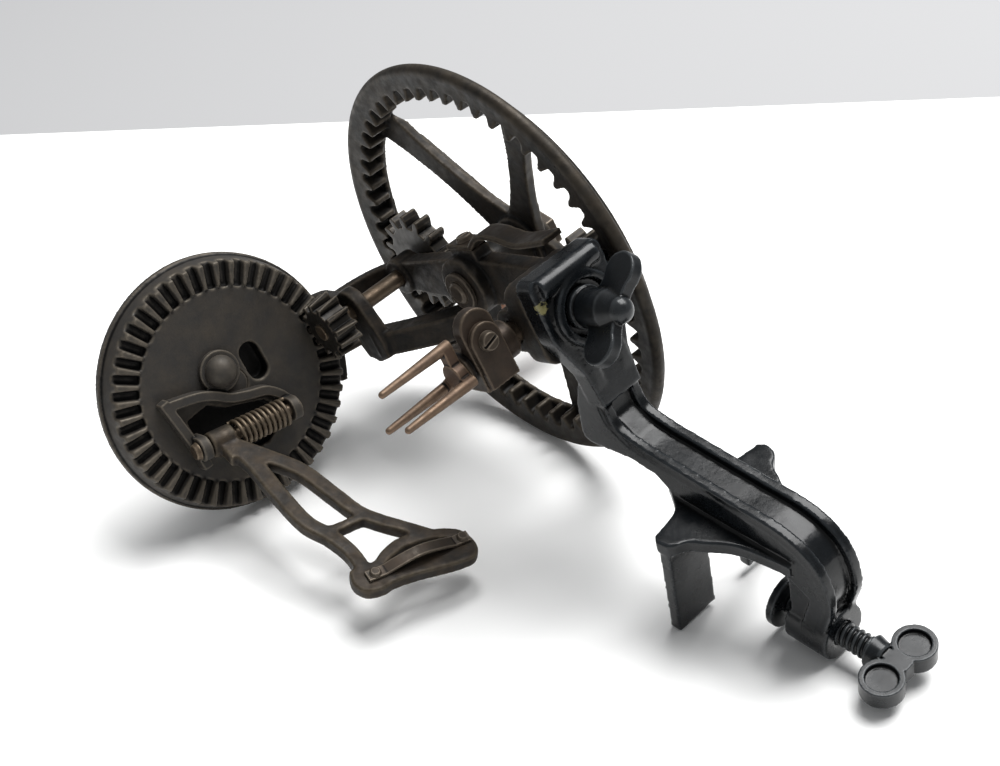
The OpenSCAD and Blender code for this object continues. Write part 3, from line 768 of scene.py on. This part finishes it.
@dataclass
class ParingArm(SubAssembly):
    """Forked arm with the knife on its head."""

    dressings: tuple[Dressing, ...] = (
        Dressing("paring_arm", Make.FORGED, ARM_IRON, 0.35),
        Dressing("knife_blade", Make.TURNED, BLADE_STEEL, 0.2),
        Dressing("blade_screws", Make.TURNED, FASTENER_STEEL, 0.15),
    )


@dataclass
class AppleFork(SubAssembly):
    """Spindle, head and tines that hold the apple."""

    dressings: tuple[Dressing, ...] = (
        Dressing("fork_spindle", Make.TURNED, ROD_STEEL, 0.25),
        Dressing("fork_pinion", Make.FILED, PINION_IRON, 0.25),
        Dressing("fork_head", Make.CAST, LUG_IRON, 0.3),
        Dressing("apple_fork", Make.FILED, FORK_IRON, 0.22),
        Dressing("fork_plate", Make.FILED, LUG_IRON, 0.25),
        Dressing("fork_screw", Make.TURNED, FASTENER_STEEL, 0.16),
    )


@dataclass
class Clamp(SubAssembly):
    """Table clamp with its wing screw, thumb screw and pad."""

    dressings: tuple[Dressing, ...] = (
        Dressing("clamp_body", Make.CAST, CLAMP_JAPAN, 0.5),
        Dressing("wing_screw", Make.CAST, SCREW_JAPAN, 0.3),
        Dressing("clamp_pad", Make.FILED, SCREW_JAPAN, 0.25),
    )
    thread: Dressing = Dressing("clamp_screw", Make.FILED, SCREW_JAPAN, 0.22)
    shank_mm: float = 4.0
    root_mm: float = 3.3
    pitch_mm: float = 2.0
    ridge_mm: float = 0.62
    collar_mm: float = 4.6
    near_mm: float = 0.05
    points_per_turn: int = 32
    ridge_sides: int = 8

    def thumb_screw(self) -> bpy.types.Object:
        """Cuts the clamping screw's shank down to its root and lays the thread's ridge on it.

        Returns:
            The screw with its lobes as one piece.
        """
        axis = Axis.of_joint("screw_turn")
        mesh = merged_copy(self.thread.node)
        reach, off = axis.measure(frame["nodes"][self.thread.node].data)
        collar = reach[off > self.collar_mm * MM].min()
        shank = reach[np.abs(off - self.shank_mm * MM) < self.near_mm * MM].min()
        for vert in mesh.vertices:
            arm = vert.co - axis.origin
            place = arm.dot(axis.along)
            out = arm - axis.along * place
            on_shank = abs(out.length - self.shank_mm * MM) < self.near_mm * MM
            if on_shank and place < collar + self.pitch_mm * MM:
                vert.co -= out.normalized() * (self.shank_mm - self.root_mm) * MM
        start, end = shank + self.ridge_mm * MM, collar
        ridge = axis.helix(start, end, (self.shank_mm - self.ridge_mm) * MM,
                           (end - start) / (self.pitch_mm * MM), self.points_per_turn)
        joined(mesh, path_tube("thread_ridge", ridge, self.ridge_mm * MM, self.ridge_sides))
        whole = placed("dressed_" + self.thread.node, mesh)
        return eased(whole, self.thread.make, self.thread.voxel_mm * MM)

    def build(self) -> None:
        """Builds the clamp's nodes, then the threaded thumb screw."""
        super().build()
        self.dress(self.thumb_screw(), self.thread)


@dataclass
class Studio:
    """White sheet on a pale grey floor under a wide soft light."""

    sheet_back: tuple[tuple[float, float], tuple[float, float]] = ((-0.277, 0.362), (0.240, 0.268))
    sheet_reach: float = 2.4
    floor_half: float = 6.0
    floor_drop: float = 0.002
    key_place: tuple[float, float, float] = (0.68, 0.5, 1.88)
    key_size: float = 1.5
    key_power: float = 78.0
    world_strength: float = 0.33
    floor_colour: str = "#a6a6a7"
    floor_roughness: float = 0.8
    sheet_colour: str = "#fdfdfc"
    sheet_roughness: float = 0.7
    world_colour: str = "#f4f6f8"

    def flat(self, name: str, corners: list[tuple[float, float, float]], code: str, rough: float) -> None:
        """Lays one flat sheet of the stage.

        Args:
            name: sheet's name.
            corners: its corners in order.
            code: its colour.
            rough: its roughness.
        """
        mesh = bpy.data.meshes.new(name)
        mesh.from_pydata(corners, [], [list(range(len(corners)))])
        obj = placed(name, mesh)
        mat = bpy.data.materials.new(name)
        mat.use_nodes = True
        shader = mat.node_tree.nodes["Principled BSDF"]
        shader.inputs["Base Color"].default_value = linear(code)
        shader.inputs["Roughness"].default_value = rough
        mesh.materials.append(mat)

    def build(self) -> None:
        """Lays the floor and the sheet, and hangs the lights."""
        half = self.floor_half
        low = -self.floor_drop
        square = [(-half, -half, low), (half, -half, low), (half, half, low), (-half, half, low)]
        self.flat("pale_floor", square, self.floor_colour, self.floor_roughness)
        left, right = Vector(self.sheet_back[0]), Vector(self.sheet_back[1])
        run = (right - left).normalized()
        front = Vector((run.y, -run.x))
        back = [left - run * self.sheet_reach, right + run * self.sheet_reach]
        near = [p + front * self.sheet_reach for p in back]
        corners = [*near, back[1], back[0]]
        self.flat("white_sheet", [(p.x, p.y, 0.0) for p in corners], self.sheet_colour, self.sheet_roughness)
        key = bpy.data.lights.new("key", "AREA")
        key.size = self.key_size
        key.energy = self.key_power
        lamp = placed("key", key)
        lamp.location = self.key_place
        lamp.rotation_euler = Vector(self.key_place).to_track_quat("Z", "Y").to_euler()
        world = bpy.data.worlds.new("soft_room")
        world.use_nodes = True
        sky = world.node_tree.nodes["Background"]
        sky.inputs["Strength"].default_value = self.world_strength
        sky.inputs["Color"].default_value = linear(self.world_colour)
        bpy.context.scene.world = world
        bpy.context.scene.view_settings.view_transform = "Standard"


@dataclass(frozen=True)
class PhotoCamera:
    """Camera at the photograph's place: above the front, tipped down and rolled a little."""

    place: tuple[float, float, float] = (0.044462, -0.405297, 0.339292)
    pitch_deg: float = 54.6104
    roll_deg: float = 7.3613
    lens_mm: float = 55.21
    sensor_mm: float = 36.0

    def build(self) -> None:
        """Sets the scene's camera."""
        data = bpy.data.cameras.new("photo_camera")
        data.sensor_fit = "HORIZONTAL"
        data.sensor_width = self.sensor_mm
        data.lens = self.lens_mm
        data.clip_start = 0.01
        camera = placed("photo_camera", data)
        camera.location = self.place
        camera.rotation_euler = (math.radians(self.pitch_deg), math.radians(self.roll_deg), 0.0)
        bpy.context.scene.camera = camera


def main() -> None:
    """Builds the stage, the camera and every part of the machine."""
    logging.basicConfig(level=logging.INFO, format="%(name)s: %(message)s")
    PhotoCamera().build()
    Studio().build()
    for part in (Frame(), DriveWheel(), GearTrain(), Turntable(), ParingArm(), AppleFork(), Clamp()):
        part.build()


if __name__ == "__main__":
    main()
